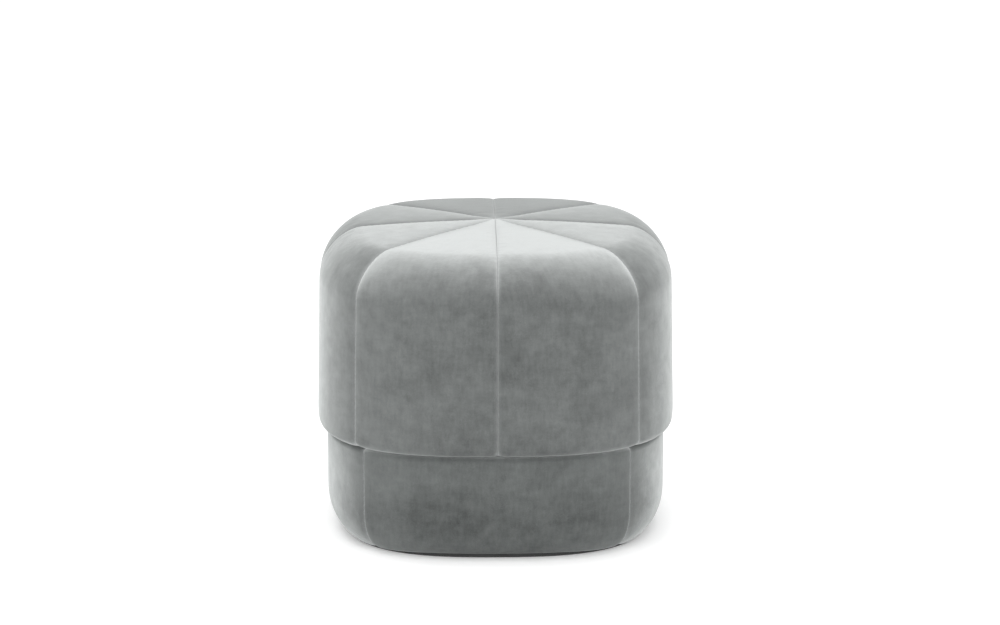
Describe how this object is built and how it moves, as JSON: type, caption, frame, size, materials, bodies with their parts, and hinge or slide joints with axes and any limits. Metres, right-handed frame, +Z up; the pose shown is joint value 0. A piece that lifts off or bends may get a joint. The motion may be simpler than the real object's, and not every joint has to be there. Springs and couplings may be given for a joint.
{
  "type": "pouf with a soft square plan, a cap of eight gores and a four-panel base",
  "caption": "Low upholstered pouf in grey velvet: a padded cap of gores curving over a soft square shape, on a slightly narrower padded base with a rounded foot.",
  "frame": {"origin": "centre of the footprint, on the surface that the pouf rests on", "axes": "+Z up, -Y towards the front; the middle seam of the picture's front lies on -Y"},
  "size_m": [0.4648, 0.4648, 0.3999],
  "materials": {
    "cap_velvet": "grey velvet with a short pile",
    "base_velvet": "grey velvet with a short pile",
    "underside_cloth": "dark grey woven cloth"
  },
  "bodies": {
    "root": {"cap_gore_1": "cap_velvet", "cap_gore_2": "cap_velvet", "cap_gore_3": "cap_velvet", "cap_gore_4": "cap_velvet", "cap_gore_5": "cap_velvet", "cap_gore_6": "cap_velvet", "cap_gore_7": "cap_velvet", "cap_gore_8": "cap_velvet", "base_panel_1": "base_velvet", "base_panel_2": "base_velvet", "base_panel_3": "base_velvet", "base_panel_4": "base_velvet", "underside_panel": "underside_cloth"}
  },
  "joints": []
}
